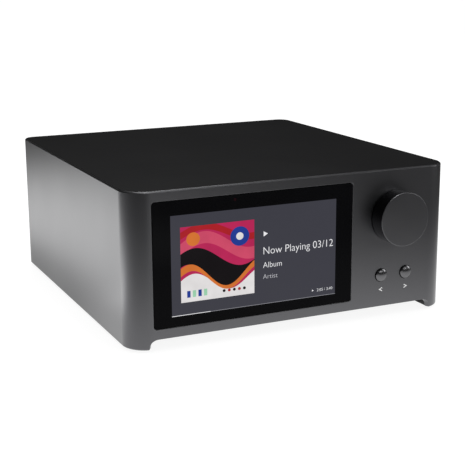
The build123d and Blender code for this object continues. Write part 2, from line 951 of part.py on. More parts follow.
pieces = {
    "case_shell": case_shell,
    "top_panel": top_panel,
    "base_pan": base_pan,
    "base_rails": base_rails,
    "rubber_feet": rubber_feet,
    "rear_panel": rear_panel,
    "display_glass": display_glass,
    "display_panel": display_panel,
    "backlight_tray": backlight_tray,
    "display_bracket": display_bracket,
    "display_ribbon": display_ribbon,
    "infrared_receiver": infrared_receiver,
    "standby_light": standby_light,
    "volume_knob": volume_knob,
    "encoder_shaft": encoder_shaft,
    "encoder_plunger": encoder_plunger,
    "encoder_body": encoder_body,
    "encoder_nut": encoder_nut,
    "button_previous": button_previous,
    "button_next": button_next,
    "button_guide": button_guide,
    "button_switches": button_switches,
    "front_boards": front_boards,
    "screws": screws,
    "standoffs": standoffs,
    "phono_housings": phono_housings,
    "phono_sleeves": phono_sleeves,
    "terminal_plate": terminal_plate,
    "terminal_studs": terminal_studs,
    "terminal_links": terminal_links,
    "optical_input": optical_input,
    "optical_shutter": optical_shutter,
    "hdmi_socket": hdmi_socket,
    "usb_socket": usb_socket,
    "network_socket": network_socket,
    "mini_jacks": mini_jacks,
    "mains_inlet": mains_inlet,
    "mains_inlet_pins": mains_inlet_pins,
    "power_switch_frame": power_switch_frame,
    "power_rocker": power_rocker,
    "power_supply_board": power_supply_board,
    "amplifier_board": amplifier_board_and_chips,
    "main_board": main_board_piece,
    "insulation_sheet": insulation,
    "capacitors": capacitors,
    "coils": coils,
    "heat_sinks": heat_sinks,
    "transformer": transformer,
    "streaming_module": streaming_module,
    "radio_antennas": radio_antennas,
    "mains_leads": mains_leads,
}

os.makedirs("parts", exist_ok=True)
for name, make in pieces.items():
    export_step(make(), f"parts/{name}.step")
for number, centre in enumerate(post_centres(), 1):
    export_step(clamp_ring(centre), f"parts/clamp_ring_{number}.step")
    export_step(terminal_cap(centre), f"parts/terminal_cap_{number}.step")
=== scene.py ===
from math import cos, dist, hypot, pi, radians, sin

import bmesh
import bpy
from mathutils import Matrix, Vector


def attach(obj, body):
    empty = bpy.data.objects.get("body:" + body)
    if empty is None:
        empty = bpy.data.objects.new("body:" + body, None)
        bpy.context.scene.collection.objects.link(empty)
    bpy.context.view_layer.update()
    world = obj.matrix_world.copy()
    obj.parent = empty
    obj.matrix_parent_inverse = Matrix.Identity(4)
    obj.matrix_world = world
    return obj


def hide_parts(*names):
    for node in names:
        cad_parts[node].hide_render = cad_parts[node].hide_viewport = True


# A streaming amplifier on a pale studio floor. Meshes are drawn in millimetres, in the CAD part's
# own frame: +Z up, the front faces -Y, the viewer's right is +X. makePiece turns them to metres.

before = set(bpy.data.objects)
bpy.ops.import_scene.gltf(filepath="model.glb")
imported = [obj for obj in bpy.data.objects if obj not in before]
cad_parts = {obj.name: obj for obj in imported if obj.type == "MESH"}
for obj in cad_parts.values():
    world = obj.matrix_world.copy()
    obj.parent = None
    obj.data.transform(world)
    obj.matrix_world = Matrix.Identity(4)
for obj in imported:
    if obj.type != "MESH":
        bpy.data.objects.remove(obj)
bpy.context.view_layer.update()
scene = bpy.context.scene
mm = 0.001
tiny = 1e-6


# Mesh helpers

def placed(u, v, level, facing):
    if facing == "front":  # seen from the front: u is x, v is z
        return (u, level, v)
    if facing == "side":  # seen from the right: u is y, v is z
        return (level, u, v)
    return (u, v, level)  # seen from above: u is x, v is y


def ringsOf(bm, loops, facing):
    # A ring of vertices for each (outline, level) pair.
    return [[bm.verts.new(placed(u, v, level, facing)) for u, v in outline] for outline, level in loops]


def bridge(bm, pairs):
    # Faces between rings with equal numbers of points, any of which may be a single point.
    for near, far in pairs:
        sides = max(len(near), len(far))
        for i in range(sides):
            j = (i + 1) % sides
            corners = (near[i % len(near)], near[j % len(near)], far[j % len(far)], far[i % len(far)])
            unique = list(dict.fromkeys(corners))
            if len(unique) > 2:
                bm.faces.new(unique)


def toMesh(bm):
    mesh = bpy.data.meshes.new("work")
    bm.to_mesh(mesh)
    bm.free()
    return mesh


def meshFrom(bm):
    # The mesh of a closed shape, with its faces turned outwards.
    bmesh.ops.recalc_face_normals(bm, faces=bm.faces)
    return toMesh(bm)


def skinned(loops, facing="plan"):
    # A closed solid over outlines with equal numbers of points.
    bm = bmesh.new()
    rings = ringsOf(bm, loops, facing)
    bridge(bm, zip(rings, rings[1:]))
    bm.faces.new(rings[0][::-1])
    bm.faces.new(rings[-1])
    return meshFrom(bm)


def hollow(loops):
    # A closed ring over outlines, the last of which joins the first.
    bm = bmesh.new()
    rings = ringsOf(bm, loops, "front")
    bridge(bm, zip(rings, rings[1:] + rings[:1]))
    return meshFrom(bm)


def circle(centre, radius, sides=48):
    if radius < tiny:
        return [centre]
    turns = [2 * pi * i / sides for i in range(sides)]
    return [(centre[0] + radius * cos(turn), centre[1] + radius * sin(turn)) for turn in turns]


def turned(profile, centre, sides, facing="front"):
    # A profile of (radius, level) points turned about its centre. One that keeps off the axis at
    # both ends closes on itself, as a hollow ring.
    bm = bmesh.new()
    rings = ringsOf(bm, [(circle(centre, radius, sides), level) for radius, level in profile], facing)
    closed = min(profile[0][0], profile[-1][0]) > tiny
    bridge(bm, zip(rings, rings[1:] + rings[:1] if closed else rings[1:]))
    return meshFrom(bm)


def rodProfile(radius, near, far):
    return [(0, near), (radius, near), (radius, far), (0, far)]


def prism(outline, levels, facing="front"):
    return skinned([(outline, level) for level in levels], facing)


def span(x, y):
    return [(x[0], y[0]), (x[1], y[0]), (x[1], y[1]), (x[0], y[1])]


def box(x, y, z):
    return prism(span(x, y), z, "plan")


def joined(meshes):
    # Several meshes in one, each with its own material index kept.
    bm = bmesh.new()
    for mesh in meshes:
        bm.from_mesh(mesh)
        bpy.data.meshes.remove(mesh)
    return toMesh(bm)


def finished(mesh, index):
    # The same mesh with all its faces on one of the piece's materials.
    for face in mesh.polygons:
        face.material_index = index
    return mesh


def applied(item):
    # The mesh of an object with its modifiers worked in; the object itself goes.
    bpy.context.view_layer.update()
    graph = bpy.context.evaluated_depsgraph_get()
    mesh = bpy.data.meshes.new_from_object(item.evaluated_get(graph))
    bpy.data.objects.remove(item)
    return mesh


def linked(name, data):
    item = bpy.data.objects.new(name, data)
    scene.collection.objects.link(item)
    return item


def carved(mesh, cutters):
    # A mesh with others cut out of it.
    item = linked("work", mesh)
    tools = [linked("work", cutter) for cutter in cutters]
    for tool in tools:
        step = item.modifiers.new("cut", "BOOLEAN")
        step.operation = "DIFFERENCE"
        step.solver = "EXACT"
        step.object = tool
    result = applied(item)
    for tool in tools:
        bpy.data.objects.remove(tool)
    return result


def roundedOutline(low, high, radii, steps=8):
    # Counter-clockwise from the lower left corner; the four radii go the same way.
    (u0, v0), (u1, v1) = low, high
    corners = [(u0, v0, 1, 1, pi), (u1, v0, -1, 1, 1.5 * pi), (u1, v1, -1, -1, 0), (u0, v1, 1, -1, 0.5 * pi)]
    points = []
    for (u, v, right, up, start), radius in zip(corners, radii):
        if radius <= 0:
            points.append((u, v))
            continue
        for step in range(steps + 1):
            turn = start + step * pi / 2 / steps
            points.append((u + right * radius + radius * cos(turn), v + up * radius + radius * sin(turn)))
    return points


def aroundMiddle(middle, size, radius=0.0, inset=0.0):
    # A rectangle about its middle, with rounded corners.
    half = (size[0] / 2 - inset, size[1] / 2 - inset)
    low = (middle[0] - half[0], middle[1] - half[1])
    high = (middle[0] + half[0], middle[1] + half[1])
    return roundedOutline(low, high, [radius] * 4)


def easedBlock(middle, size, corner, inset, near, far, depth):
    # A block with rounded sides, whose far rim is eased inwards over a depth.
    outer, inner = (aroundMiddle(middle, size, corner, gap) for gap in (0, inset))
    return skinned([(outer, near), (outer, far - depth), (inner, far)], "front")


def quarterRound(steps):
    # A rounding of radius one: how far it has gone inwards, and what is left of its way outwards.
    turns = [step * pi / 2 / steps for step in range(steps + 1)]
    return [(1 - cos(turn), 1 - sin(turn)) for turn in turns]


softening = {"segments": 2, "angle": 35, "weldReach": 1e-6, "flatAngle": 0.5}


def softenEdges(item, width, angle=softening["angle"], weld=False):
    # Small roundings on all sharp edges, in millimetres, and even shading over the flats.
    if weld:
        step = item.modifiers.new("weld", "WELD")
        step.merge_threshold = softening["weldReach"]
        step = item.modifiers.new("flats", "DECIMATE")
        step.decimate_type = "DISSOLVE"
        step.angle_limit = radians(softening["flatAngle"])
    if width > 0:
        step = item.modifiers.new("edges", "BEVEL")
        step.width = width * mm
        step.segments = softening["segments"]
        step.limit_method = "ANGLE"
        step.angle_limit = radians(angle)
        step.use_clamp_overlap = True
    step = item.modifiers.new("shading", "WEIGHTED_NORMAL")
    step.keep_sharp = True


def makePiece(name, mesh, finishes, body="case", standsFor=(), edge=0.0, angle=softening["angle"],
              flat=False):
    # A piece from a mesh in millimetres. A flat one has no smooth shading.
    mesh.transform(Matrix.Scale(mm, 4))
    mesh.name = name
    item = linked(name, mesh)
    for finish in finishes if isinstance(finishes, list) else [finishes]:
        mesh.materials.append(finish)
    for face in mesh.polygons:
        face.use_smooth = not flat
    if not flat:
        softenEdges(item, edge, angle)
    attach(item, body)
    if standsFor:
        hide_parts(*standsFor)


# Materials

def linear(code):
    # An sRGB hex colour as the linear colour that the nodes use.
    parts = [int(code[i:i + 2], 16) / 255 for i in (1, 3, 5)]
    return tuple(c / 12.92 if c <= 0.04045 else ((c + 0.055) / 1.055) ** 2.4 for c in parts) + (1.0,)


def addNode(tree, kind, settings=None, links=None):
    # A node with its own settings, and its inputs as values or as the sockets that feed them.
    node = tree.nodes.new("ShaderNode" + kind)
    for option, value in (settings or {}).items():
        setattr(node, option, value)
    for entry, value in (links or {}).items():
        if isinstance(value, bpy.types.NodeSocket):
            tree.links.new(value, node.inputs[entry])
        else:
            node.inputs[entry].default_value = value
    return node


def emptied(owner):
    # The node tree of a material or a world, with nothing in it yet.
    owner.use_nodes = True
    owner.node_tree.nodes.clear()
    return owner.node_tree


def grainPattern(tree, where, look):
    # The height pattern of a surface, by how it was made; sizes are in millimetres.
    noise = {"Vector": where, "Scale": 1 / (look["grainSize"] * mm)}
    if look["made"] == "turned":  # rings about an axis along Y
        centre = addNode(tree, "VectorMath", {"operation": "SUBTRACT"},
                         {0: where, 1: (look["axis"][0] * mm, 0.0, look["axis"][1] * mm)})
        flat = addNode(tree, "VectorMath", {"operation": "MULTIPLY"},
                       {0: centre.outputs[0], 1: (1.0, 0.0, 1.0)})
        reach = addNode(tree, "VectorMath", {"operation": "LENGTH"}, {0: flat.outputs[0]})
        spread = addNode(tree, "CombineXYZ", {}, {"X": reach.outputs["Value"]})
        noise.update({"Vector": spread.outputs[0], "Detail": 3.0})
    elif look["made"] == "brushed":  # lines along one axis
        stretched = addNode(tree, "Mapping", {}, {"Vector": where, "Scale": look["stretch"]})
        noise.update({"Vector": stretched.outputs[0], "Detail": 4.0})
    elif look["made"] == "cast":  # small even pits, as of a mould or a coat of paint
        pits = addNode(tree, "TexVoronoi", {"feature": "SMOOTH_F1"}, {**noise, "Smoothness": 1.0})
        return pits.outputs["Distance"]
    else:  # blasted: fine and even all over
        noise.update({"Detail": 5.0, "Roughness": 0.6})
    return addNode(tree, "TexNoise", {}, noise).outputs[0]


def makeFinish(name, look):
    # One material: two near colours in soft clouds, a roughness that varies with them, and a grain.
    material = bpy.data.materials.new(name)
    tree = emptied(material)
    where = addNode(tree, "TexCoord").outputs["Object"]
    clouds = addNode(tree, "TexNoise", {}, {
        "Vector": where, "Scale": 1 / (look["cloudSize"] * mm), "Detail": 3.0})
    colour = addNode(tree, "Mix", {"data_type": "RGBA"},
                     {0: clouds.outputs[0], 6: linear(look["colours"][0]), 7: linear(look["colours"][1])})
    rough = addNode(tree, "MapRange", {}, {
        "Value": clouds.outputs[0], "From Min": 0.3, "From Max": 0.7,
        "To Min": look["roughness"][0], "To Max": look["roughness"][1]})
    grain = addNode(tree, "Bump", {}, {
        "Height": grainPattern(tree, where, look), "Strength": 1.0, "Distance": look["grainHeight"] * mm})
    shader = addNode(tree, "BsdfPrincipled", {}, {
        "Base Color": colour.outputs[2], "Roughness": rough.outputs[0], "Normal": grain.outputs[0],
        "Metallic": look.get("metallic", 0.0), **look.get("sockets", {})})
    addNode(tree, "OutputMaterial", {}, {"Surface": shader.outputs[0]})
    return material


def litFinish(name, code, dimming=0.04):
    # Liquid crystal pixels lit from behind: their own light, a little dimmer in soft clouds.
    material = bpy.data.materials.new(name)
    tree = emptied(material)
    where = addNode(tree, "TexCoord").outputs["Object"]
    clouds = addNode(tree, "TexNoise", {}, {"Vector": where, "Scale": 90.0, "Detail": 4.0})
    full = linear(code)
    dim = tuple(c * (1 - dimming) for c in full[:3]) + (1.0,)
    colour = addNode(tree, "Mix", {"data_type": "RGBA"}, {0: clouds.outputs[0], 6: dim, 7: full})
    shader = addNode(tree, "BsdfPrincipled", {}, {
        "Base Color": linear("#050506"), "Roughness": 0.1, "Specular IOR Level": 0.05,
        "Emission Color": colour.outputs[2], "Emission Strength": 1.0})
    addNode(tree, "OutputMaterial", {}, {"Surface": shader.outputs[0]})
    return material


knobAt = (68.5, 65.8)

# What several finishes share: the clear coat of sealed oxide, metal smoothed until its grain hardly
# shows, and glossy mouldings.
sealedOxide = {"Coat Weight": 1.0, "Coat Roughness": 0.34}
smoothMetal = {"metallic": 1.0, "made": "blasted", "grainSize": 0.2, "grainHeight": 0.001}
glossyMould = {"cloudSize": 6, "roughness": (0.22, 0.3), "made": "cast", "grainSize": 0.8, "grainHeight": 0.002}

# Aluminium sheet, bead-blasted and anodised dark grey: satin, even, with a very fine grain. The grit
# is 0.1 mm and is drawn at 0.3 mm to show.
blastedAluminium = makeFinish("aluminiumBlastedAnodisedDark", {
    "colours": ("#5e5e61", "#646467"), "cloudSize": 40, "roughness": (0.36, 0.40), "metallic": 1.0,
    "made": "blasted", "grainSize": 0.3, "grainHeight": 0.004, "sockets": sealedOxide})
# Aluminium bar turned on a lathe, then anodised with the case: the tool leaves fine rings 0.08 mm
# apart, drawn at 0.25 mm to show.
turnedAluminium = makeFinish("aluminiumTurnedAnodisedDark", {
    "colours": ("#646467", "#6a6a6d"), "cloudSize": 30, "roughness": (0.36, 0.40), "metallic": 1.0,
    "made": "turned", "axis": knobAt, "grainSize": 0.25, "grainHeight": 0.002, "sockets": sealedOxide})
# The same bar where the wall is turned with a finer cut, so smoother; its darker colour is painted shade.
turnedAluminiumPaintedShade = makeFinish("aluminiumFinelyTurnedPaintedShade", {
    "colours": ("#47474a", "#4c4c4f"), "cloudSize": 30, "roughness": (0.2, 0.24), "metallic": 1.0,
    "made": "brushed", "stretch": (1.0, 0.05, 1.0), "grainSize": 0.25, "grainHeight": 0.001})
# Polished aluminium buttons, anodised dark: sharp lights on a dark dome.
polishedAluminium = makeFinish("aluminiumPolishedAnodisedDark", {
    **smoothMetal, "colours": ("#707072", "#78787a"), "cloudSize": 6, "roughness": (0.2, 0.24)})
# Polycarbonate sheet painted satin black: an even black that keeps reflections low.
satinPaint = makeFinish("polycarbonatePaintedSatinBlack", {
    "colours": ("#101011", "#131314"), "cloudSize": 60, "roughness": (0.42, 0.48),
    "made": "cast", "grainSize": 0.5, "grainHeight": 0.002, "sockets": {"Specular IOR Level": 0.12}})
# Float glass printed black behind and coated against reflections: deep black, almost no mirror.
printedGlass = makeFinish("glassFloatPrintedBlack", {
    "colours": ("#0b0b0c", "#0d0d0f"), "cloudSize": 50, "roughness": (0.06, 0.09),
    "made": "blasted", "grainSize": 9, "grainHeight": 0.001, "sockets": {"Specular IOR Level": 0.03}})
# Steel sheet with a fine black powder coat: an orange peel about 0.6 mm across.
powderSteel = makeFinish("steelPowderCoatedBlack", {
    "colours": ("#191919", "#1f1f20"), "cloudSize": 20, "roughness": (0.5, 0.6),
    "made": "cast", "grainSize": 0.6, "grainHeight": 0.02, "sockets": {"Specular IOR Level": 0.4}})
# Steel screws, phosphated and oiled: black with a dull metal shine.
blackSteel = makeFinish("steelPhosphatedBlack", {
    "colours": ("#3a3a3b", "#454546"), "cloudSize": 2, "roughness": (0.34, 0.44), "metallic": 1.0,
    "made": "blasted", "grainSize": 0.2, "grainHeight": 0.003})
# Zinc plated steel sheet, rolled: grey with faint lines along the roll.
zincSteel = makeFinish("steelZincPlatedRolled", {
    "colours": ("#9a9b9c", "#b0b0b0"), "cloudSize": 12, "roughness": (0.3, 0.42), "metallic": 1.0,
    "made": "brushed", "stretch": (0.04, 1.0, 1.0), "grainSize": 0.3, "grainHeight": 0.002})
# Nickel plated steel, turned or stamped: bright and slightly warm.
nickelSteel = makeFinish("steelNickelPlated", {
    **smoothMetal, "colours": ("#b4b0a8", "#c2beb6"), "cloudSize": 4, "roughness": (0.18, 0.28)})
# Brass, turned and gold flashed: a bright warm yellow.
goldBrass = makeFinish("brassTurnedGoldPlated", {
    **smoothMetal, "colours": ("#c79b4a", "#d6ad5c"), "cloudSize": 3, "roughness": (0.18, 0.26)})
# ABS moulded with a fine spark-eroded texture: a soft black.
mouldedAbs = makeFinish("absMouldedBlack", {
    "colours": ("#151516", "#1b1b1c"), "cloudSize": 9, "roughness": (0.42, 0.5),
    "made": "cast", "grainSize": 0.35, "grainHeight": 0.008})
# Polycarbonate moulded glossy, red and black, for the terminal caps.
mouldedRed = makeFinish("polycarbonateMouldedRed", {**glossyMould, "colours": ("#8e0f12", "#a31518")})
mouldedGloss = makeFinish("polycarbonateMouldedBlack", {**glossyMould, "colours": ("#101011", "#171718")})
# ABS moulded white, for one core of each pair of jacks: a warm, half matte white.
mouldedWhite = makeFinish("absMouldedWhite", {
    "colours": ("#d9d8d2", "#e4e3de"), "cloudSize": 5, "roughness": (0.35, 0.42),
    "made": "cast", "grainSize": 0.4, "grainHeight": 0.004})
# Natural rubber moulded black: matte, with a slight bloom.
mouldedRubber = makeFinish("rubberMouldedBlack", {
    "colours": ("#141414", "#1e1e1d"), "cloudSize": 5, "roughness": (0.7, 0.85),
    "made": "cast", "grainSize": 0.4, "grainHeight": 0.02, "sockets": {"Specular IOR Level": 0.3}})
# Screen printing ink: near white and matte.
printedInk = makeFinish("inkScreenPrintedWhite", {
    "colours": ("#eeeeee", "#f6f6f6"), "cloudSize": 1, "roughness": (0.5, 0.6),
    "made": "blasted", "grainSize": 0.2, "grainHeight": 0.003})
# Glass fibre board with green solder mask over the copper.
maskedBoard = makeFinish("glassFibreBoardGreenMask", {
    "colours": ("#0e3a22", "#15502f"), "cloudSize": 3, "roughness": (0.3, 0.4),
    "made": "cast", "grainSize": 0.6, "grainHeight": 0.01})
# PET film, milky white, for the flat cable and the insulation sheet.
petFilm = makeFinish("petFilmWhite", {
    "colours": ("#c9c9c4", "#d6d6d2"), "cloudSize": 10, "roughness": (0.3, 0.4),
    "made": "brushed", "stretch": (1.0, 0.05, 1.0), "grainSize": 0.6, "grainHeight": 0.01})
# Shrunk PVC sleeve over an aluminium can: dark, bluish and glossy.
pvcSleeve = makeFinish("pvcShrunkSleeveDark", {
    "colours": ("#14161f", "#1b1e29"), "cloudSize": 6, "roughness": (0.2, 0.3),
    "made": "cast", "grainSize": 1.0, "grainHeight": 0.004})
# Pressed ferrite: dull dark grey.
pressedFerrite = makeFinish("ferritePressedGrey", {
    "colours": ("#232324", "#303031"), "cloudSize": 3, "roughness": (0.6, 0.75),
    "made": "cast", "grainSize": 0.5, "grainHeight": 0.02})
# Extruded aluminium, clear anodised, with lines along the extrusion.
extrudedAluminium = makeFinish("aluminiumExtrudedAnodised", {
    "colours": ("#8f9092", "#a0a1a3"), "cloudSize": 10, "roughness": (0.3, 0.4), "metallic": 1.0,
    "made": "brushed", "stretch": (1.0, 0.04, 1.0), "grainSize": 0.4, "grainHeight": 0.004})
# Acetal moulded in its natural creamy white, for the plunger.
mouldedAcetal = makeFinish("acetalMouldedNatural", {
    "colours": ("#b9b6ab", "#c6c3b8"), "cloudSize": 4, "roughness": (0.35, 0.42),
    "made": "cast", "grainSize": 0.5, "grainHeight": 0.004})
# Tinted acrylic window of a receiver or lamp behind the printed glass: a faint dark red.
tintedWindow = makeFinish("acrylicTintedDarkRed", {
    "colours": ("#1c090d", "#240b11"), "cloudSize": 2, "roughness": (0.12, 0.2),
    "made": "cast", "grainSize": 0.5, "grainHeight": 0.001, "sockets": {"Specular IOR Level": 0.2}})
print("materials made:", len(bpy.data.materials))


# Case sleeve

case = {
    "half": 109, "front": -121, "rear": 110, "bottom": 1.7, "top": 96, "wall": 3,
    "frontCorner": 15, "rearCorner": 9, "cornerSteps": 20, "chamfer": 0.8, "footEdge": 0.7, "edge": 0.12,
    "archHalf": 97.2, "archTop": 7.7, "archRounding": (5.6, 4.6), "archTaper": 0.6, "archSteps": 10,
    "toe": (1.2, 1.4), "rim": 1.0, "ledge": 93, "bushHole": 4.65, "buttonHole": 4.3, "mouth": 0.15,
    "holeSides": 64, "openingHalf": 94, "openingZ": (11, 90),
    "cutOver": 4, "cutUnder": 2, "cutInto": 8,  # how far cutters reach past the case, and into it
}
window = {
    "at": (-28.2, 51.8), "size": (131.8, 75.6), "corner": 1.8, "leastCorner": 0.2, "chamfer": 0.4,
    "cutOver": 0.2, "ledge": 1.3, "ledgeDepth": 1, "glassRear": -119,
}
buttonCentres = {"previous": (59.45, 28.3), "next": (77.55, 28.3)}


def caseOutline(inset):
    radii = [case["frontCorner"] - inset] * 2 + [case["rearCorner"] - inset] * 2
    half, front, rear = case["half"] - inset, case["front"] + inset, case["rear"] - inset
    return roundedOutline((-half, front), (half, rear), radii, case["cornerSteps"])


def windowOutline(inset):
    corner = max(window["corner"] - inset, window["leastCorner"])
    return aroundMiddle(window["at"], window["size"], corner, inset)


def archOutline(inwards):
    # The gap between two corner feet, so far in from the outside: round at its top corners, flared
    # where it meets the ground, and narrower inwards.
    half = case["archHalf"] - case["archTaper"] * inwards
    (across, tall), (flare, rise) = case["archRounding"], case["toe"]
    low, high, rounding = case["bottom"], case["archTop"], quarterRound(case["archSteps"])
    right = [(half + flare, low - case["cutUnder"])]
    right += [(half + flare * left, low + rise * gone) for gone, left in rounding]
    right += [(half - across * gone, high - tall * left) for gone, left in rounding]
    return right + [(-u, v) for u, v in reversed(right)]


def makeCase():
    bottom, top, front, rear = case["bottom"], case["top"], case["front"], case["rear"]
    over, into, mouth = case["cutOver"], case["cutInto"], case["mouth"]
    body = skinned([(caseOutline(case["footEdge"]), bottom), (caseOutline(0), bottom + case["footEdge"]),
                    (caseOutline(0), top - case["chamfer"]), (caseOutline(case["chamfer"]), top)])
    cutters = [prism(caseOutline(case["wall"]), (bottom - over, top + over), "plan"),
               prism(caseOutline(case["rim"]), (case["ledge"], top + over), "plan")]
    for face, inwards in ((front, 1), (rear, -1)):
        arch = [(archOutline(depth), face + inwards * depth) for depth in (-over, into)]
        cutters.append(skinned(arch, "front"))
    slope, lip = window["chamfer"], window["cutOver"]
    cutters.append(skinned([(windowOutline(-slope - lip), front - lip), (windowOutline(0), front + slope),
                            (windowOutline(0), window["glassRear"])], "front"))
    ledge = aroundMiddle(window["at"], window["size"], 0, window["ledge"])
    cutters.append(prism(ledge, (front + window["ledgeDepth"], front + into)))
    holes = [(knobAt, case["bushHole"])] + [(centre, case["buttonHole"]) for centre in buttonCentres.values()]
    for centre, radius in holes:
        funnel = [(0, front - over), (radius + mouth + over, front - over), (radius, front + mouth),
                  (radius, front + into), (0, front + into)]
        cutters.append(turned(funnel, centre, case["holeSides"]))
    half = case["openingHalf"]
    cutters.append(box((-half, half), (rear - into, rear + over), case["openingZ"]))
    return carved(body, cutters)


makePiece("case_sleeve", makeCase(), blastedAluminium, standsFor=["case_shell"],
          edge=case["edge"], angle=30)
print("case sleeve made")


# Top panel, let into the sleeve

topPanel = {"inset": 1.15, "bottom": 93, "top": 96, "rounding": 0.3, "steps": 4}


def makeTopPanel():
    inset, top, rounding = topPanel["inset"], topPanel["top"], topPanel["rounding"]
    rim = [(caseOutline(inset + rounding * gone), top - rounding * left)
           for gone, left in quarterRound(topPanel["steps"])]
    return skinned([(caseOutline(inset), topPanel["bottom"])] + rim)


makePiece("top_cover", makeTopPanel(), satinPaint, standsFor=["top_panel"])


# Display glass and the picture on it

glass = {"gap": 0.15, "front": -121, "rear": -119, "rounding": 0.25, "steps": 3}


def makeGlass():
    gap, front, rounding = glass["gap"], glass["front"], glass["rounding"]
    rim = [(windowOutline(gap + rounding * gone), front + rounding * left)
           for gone, left in quarterRound(glass["steps"])]
    return skinned([(windowOutline(gap), glass["rear"])] + rim, "front")


makePiece("cover_glass", makeGlass(), printedGlass, standsFor=["display_glass"])

litGround = litFinish("displayPixelsSlate", "#3e3e46")
litWhite = litFinish("displayPixelsWhite", "#ececee")
litSoft = litFinish("displayPixelsPale", "#bdbdc2")
litDim = litFinish("displayPixelsGrey", "#96969c")

# The lit picture lies on the glass, a few hundredths of a millimetre proud of it. Letters fill the
# layers from the first to the last of letterLayers. Points nearer than merge become one.
screen = {
    "x": (-82.9, 26.0), "z": (20.35, 80.8), "surface": -121.0, "thickness": 0.02, "letterLayers": (1, 4),
    "merge": 1e-4,
    "lines": {
        "title": {"words": "Now Playing 03/12", "at": (-23.5, 51.3), "width": 47.6, "height": 4.8},
        "second_line": {"words": "Album", "at": (-23.8, 42.95), "width": 12.6, "height": 3.7},
        "third_line": {"words": "Artist", "at": (-23.8, 36.1), "width": 9.8, "height": 3.0, "finish": litSoft},
        "time": {"words": "2:05 / 3:40", "at": (13.2, 23.5), "width": 10.9, "height": 1.9},
    },
    "capTop": 0.729, "thinner": -0.012,  # height of the font's capitals, and its weight, at size 1
    "progress": ((-82.9, -58.4), (20.35, 20.7)), "track": ((-58.4, 26.0), (20.35, 20.6)),
    "playMarks": [[(-23.4, 62.4), (-20.6, 64.0), (-23.4, 65.6)], [(9.8, 23.75), (11.0, 24.4), (9.8, 25.05)]],
}
# An abstract of waves, discs, bars and dots in a square of side one. A wave is a band between two
# curves, each with its middle, swing, rate and shift.
art = {
    "at": (-77.0, 28.1), "size": (47.4, 45.4), "ground": "pink", "layer": 0.2, "samples": 40,
    "colours": {"pink": "#c22a5c", "rose": "#d9506f", "red": "#b5242b", "orange": "#e07a35", "black": "#141012",
                "white": "#f1eeee", "blue": "#27409a", "mint": "#a4dcb8"},
    "waves": [
        ("rose", (0.62, 0.14, 5, 0), (0.78, 0.14, 5, 0)),
        ("red", (0.84, 0.10, 5, 0), (0.93, 0.10, 5, 0)),
        ("black", (0.30, 0.20, 6, 1), (0.56, 0.15, 5, 0.6)),
        ("white", (0, 0, 0, 0), (0.24, 0.13, 6.5, 0.4)),
        ("orange", (0.26, 0.15, 6.5, 0.6), (0.33, 0.17, 6.3, 0.8)),
    ],
    "discs": [("blue", (0.80, 0.80), 0.13), ("white", (0.80, 0.80), 0.05), ("orange", (0.17, 0.83), 0.09)],
    "bars": {"colours": ("blue", "mint"), "count": 4, "start": 0.08, "pitch": 0.075, "width": 0.045,
             "z": (0.06, 0.15)},
    "dots": {"colours": ("black", "red"), "count": 5, "start": 0.58, "pitch": 0.07, "z": 0.09,
             "radius": 0.02, "sides": 20},
}
receiver = {"at": (-42, 86.7), "radius": 0.9, "y": (-121.0, -121.03), "sides": 32}


def plate(outline, level, index=0):
    # A thin flat plate on the glass; level counts layers outwards.
    back = screen["surface"] - level * screen["thickness"]
    return finished(prism(outline, (back, back - screen["thickness"])), index)


def waveBand(low, high):
    # A band across the square between two curves, kept inside the square.
    steps = [i / art["samples"] for i in range(art["samples"] + 1)]
    curves = [[(t, min(max(middle + swing * sin(rate * t + shift), 0), 1)) for t in steps]
              for middle, swing, rate, shift in (low, high)]
    return curves[0] + curves[1][::-1]


def makeArt():
    names = list(art["colours"])
    shapes = [(art["ground"], span((0, 1), (0, 1)))]
    shapes += [(name, waveBand(low, high)) for name, low, high in art["waves"]]
    shapes += [(name, circle(centre, radius)) for name, centre, radius in art["discs"]]
    bars, dots = art["bars"], art["dots"]
    for step in range(bars["count"]):
        x = bars["start"] + bars["pitch"] * step
        shapes.append((bars["colours"][step % 2], span((x, x + bars["width"]), bars["z"])))
    for step in range(dots["count"]):
        x = dots["start"] + dots["pitch"] * step
        shapes.append((dots["colours"][step % 2], circle((x, dots["z"]), dots["radius"], dots["sides"])))
    (left, bottom), (width, height) = art["at"], art["size"]
    meshes = []
    for layer, (name, outline) in enumerate(shapes):
        points = [(left + u * width, bottom + v * height) for u, v in outline]
        points = [p for p, last in zip(points, points[-1:] + points) if dist(p, last) > screen["merge"]]
        meshes.append(plate(points, 1 + layer * art["layer"], names.index(name)))
    return joined(meshes)


def makeWords(line):
    # Text as thin solid letters, fitted to a width and a capital height.
    curve = bpy.data.curves.new("words", "FONT")
    curve.body = line["words"]
    curve.size = 1
    curve.offset = screen["thinner"]
    bm = bmesh.new()
    bm.from_mesh(applied(linked("words", curve)))
    bmesh.ops.remove_doubles(bm, verts=bm.verts, dist=screen["merge"])
    bmesh.ops.dissolve_limit(bm, angle_limit=radians(1), verts=bm.verts, edges=bm.edges)
    low = min(v.co.x for v in bm.verts)
    high = max(v.co.x for v in bm.verts)
    across, upward = line["width"] / (high - low), line["height"] / screen["capTop"]
    first, last = screen["letterLayers"]
    front = screen["surface"] - last * screen["thickness"]
    for v in bm.verts:
        v.co = Vector((line["at"][0] + (v.co.x - low) * across, front, line["at"][1] + v.co.y * upward))
    raised = bmesh.ops.extrude_face_region(bm, geom=list(bm.faces))
    for v in raised["geom"]:
        if isinstance(v, bmesh.types.BMVert):
            v.co.y += (last - first) * screen["thickness"]
    return meshFrom(bm)


def showOnScreen(name, mesh, finishes):
    makePiece("display_" + name, mesh, finishes, flat=True)


